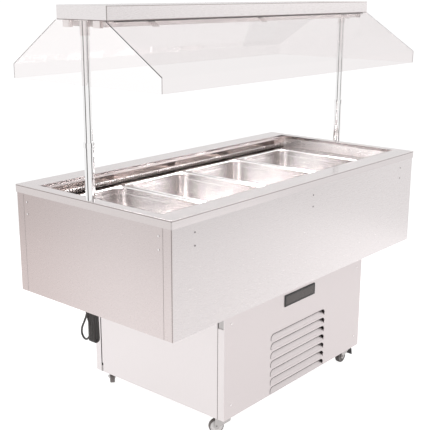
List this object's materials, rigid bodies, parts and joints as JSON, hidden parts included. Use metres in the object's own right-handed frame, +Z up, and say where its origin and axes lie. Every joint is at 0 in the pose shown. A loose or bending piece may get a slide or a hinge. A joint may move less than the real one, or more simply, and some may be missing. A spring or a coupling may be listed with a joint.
{
  "type": "buffet island",
  "caption": "Castored refrigerated buffet island: open well of food pans, louvred base and a clear hood under a lit canopy that slides on two posts.",
  "frame": {"origin": "centre of the footprint, on the floor", "axes": "+X along the island to the filler deck's end, -Y towards the controller side, +Z up"},
  "size_m": [1.504, 0.75, 1.481],
  "materials": {
    "stainless_brushed": "fine satin",
    "stainless_polished": "polished",
    "plated_steel": "dull zinc plate",
    "foam": "rigid foam",
    "aluminium_fins": "mill finish",
    "black_enamel": "satin enamel",
    "copper": "drawn tube",
    "clear_acrylic": "clear gloss",
    "frosted_plastic": "frosted",
    "black_plastic": "moulded satin",
    "black_window": "gloss",
    "wheel_rubber": "moulded",
    "cord_rubber": "smooth sheath",
    "strap": "woven strap"
  },
  "bodies": {
    "island": {"top_rim": "stainless_brushed", "front_panel": "stainless_brushed", "rear_panel": "stainless_brushed", "end_panel_left": "stainless_brushed", "end_panel_right": "stainless_brushed", "tank_floor": "plated_steel", "well_liner": "stainless_polished", "well_insulation": "foam", "pan_frame": "stainless_brushed", "filler_deck": "stainless_brushed", "air_ducts": "stainless_polished", "evaporator_coil": "aluminium_fins", "well_drain": "stainless_polished", "base_frame": "plated_steel", "base_side_left": "stainless_brushed", "base_side_right": "stainless_brushed", "front_cassette": "stainless_brushed", "rear_cassette": "stainless_brushed", "controller_bezel": "black_plastic", "controller_window": "black_window", "compressor": "black_enamel", "condenser_coil": "aluminium_fins", "condenser_shroud": "plated_steel", "refrigerant_pipes": "copper", "caster_plates": "plated_steel", "post_lower": "stainless_polished", "post_collars": "stainless_polished", "panel_screws": "plated_steel", "cord_hook": "plated_steel", "cord_gland": "black_plastic", "cord_lead": "cord_rubber", "cord_hank": "cord_rubber", "cord_tail": "cord_rubber", "plug": "cord_rubber", "cord_tie": "strap"},
    "canopy": {"post_upper": "stainless_polished", "canopy_shell": "stainless_brushed", "canopy_fittings": "plated_steel", "lamp_housing": "aluminium_fins", "lamp_diffuser": "frosted_plastic", "hood_front": "clear_acrylic", "hood_rear": "clear_acrylic", "hood_left": "clear_acrylic", "hood_right": "clear_acrylic"},
    "pan_1": {"pan_1": "stainless_polished"},
    "pan_2": {"pan_2": "stainless_polished"},
    "pan_3": {"pan_3": "stainless_polished"},
    "pan_4": {"pan_4": "stainless_polished"},
    "swivel_front_left": {"caster_fork_front_left": "plated_steel"},
    "wheel_front_left": {"caster_wheel_front_left": "wheel_rubber"},
    "swivel_front_right": {"caster_fork_front_right": "plated_steel"},
    "wheel_front_right": {"caster_wheel_front_right": "wheel_rubber"},
    "brake_front_right": {"brake_lever_front_right": "black_plastic"},
    "swivel_rear_left": {"caster_fork_rear_left": "plated_steel"},
    "wheel_rear_left": {"caster_wheel_rear_left": "wheel_rubber"},
    "swivel_rear_right": {"caster_fork_rear_right": "plated_steel"},
    "wheel_rear_right": {"caster_wheel_rear_right": "wheel_rubber"},
    "brake_rear_right": {"brake_lever_rear_right": "black_plastic"},
    "evaporator_fan": {"evaporator_fan": "black_plastic"},
    "condenser_fan": {"condenser_fan": "black_plastic"}
  },
  "joints": [
    {"name": "canopy_height", "type": "slide", "parent": "island", "child": "canopy", "axis": [0, 0, 1], "range_m": [-0.12, 0]},
    {"name": "pan_1_lift", "type": "slide", "parent": "island", "child": "pan_1", "axis": [0, 0, 1], "range_m": [0, 0.21]},
    {"name": "pan_2_lift", "type": "slide", "parent": "island", "child": "pan_2", "axis": [0, 0, 1], "range_m": [0, 0.21]},
    {"name": "pan_3_lift", "type": "slide", "parent": "island", "child": "pan_3", "axis": [0, 0, 1], "range_m": [0, 0.21]},
    {"name": "pan_4_lift", "type": "slide", "parent": "island", "child": "pan_4", "axis": [0, 0, 1], "range_m": [0, 0.21]},
    {"name": "swivel_front_left", "type": "hinge", "parent": "island", "child": "swivel_front_left", "pos_m": [-0.402, -0.285, 0.062], "axis": [0, 0, 1], "continuous": true},
    {"name": "wheel_front_left", "type": "hinge", "parent": "swivel_front_left", "child": "wheel_front_left", "pos_m": [-0.42002, -0.27238, 0.027], "axis": [0.5736, 0.8192, 0], "continuous": true},
    {"name": "swivel_front_right", "type": "hinge", "parent": "island", "child": "swivel_front_right", "pos_m": [0.402, -0.285, 0.062], "axis": [0, 0, 1], "continuous": true},
    {"name": "wheel_front_right", "type": "hinge", "parent": "swivel_front_right", "child": "wheel_front_right", "pos_m": [0.38, -0.285, 0.027], "axis": [0, 1, 0], "continuous": true},
    {"name": "brake_front_right", "type": "hinge", "parent": "swivel_front_right", "child": "brake_front_right", "pos_m": [0.425, -0.285, 0.051], "axis": [0, 1, 0], "range_deg": [0, 12]},
    {"name": "swivel_rear_left", "type": "hinge", "parent": "island", "child": "swivel_rear_left", "pos_m": [-0.402, 0.285, 0.062], "axis": [0, 0, 1], "continuous": true},
    {"name": "wheel_rear_left", "type": "hinge", "parent": "swivel_rear_left", "child": "wheel_rear_left", "pos_m": [-0.38786, 0.30185, 0.027], "axis": [0.766, -0.6428, 0], "continuous": true},
    {"name": "swivel_rear_right", "type": "hinge", "parent": "island", "child": "swivel_rear_right", "pos_m": [0.402, 0.285, 0.062], "axis": [0, 0, 1], "continuous": true},
    {"name": "wheel_rear_right", "type": "hinge", "parent": "swivel_rear_right", "child": "wheel_rear_right", "pos_m": [0.38295, 0.274, 0.027], "axis": [-0.5, 0.866, 0], "continuous": true},
    {"name": "brake_rear_right", "type": "hinge", "parent": "swivel_rear_right", "child": "brake_rear_right", "pos_m": [0.42192, 0.2965, 0.051], "axis": [-0.5, 0.866, 0], "range_deg": [0, 12]},
    {"name": "evaporator_fan_spin", "type": "hinge", "parent": "island", "child": "evaporator_fan", "pos_m": [-0.36, -0.024, 0.601], "axis": [0, 1, 0], "continuous": true},
    {"name": "condenser_fan_spin", "type": "hinge", "parent": "island", "child": "condenser_fan", "pos_m": [0, -0.2227, 0.195], "axis": [0, 1, 0], "continuous": true}
  ]
}
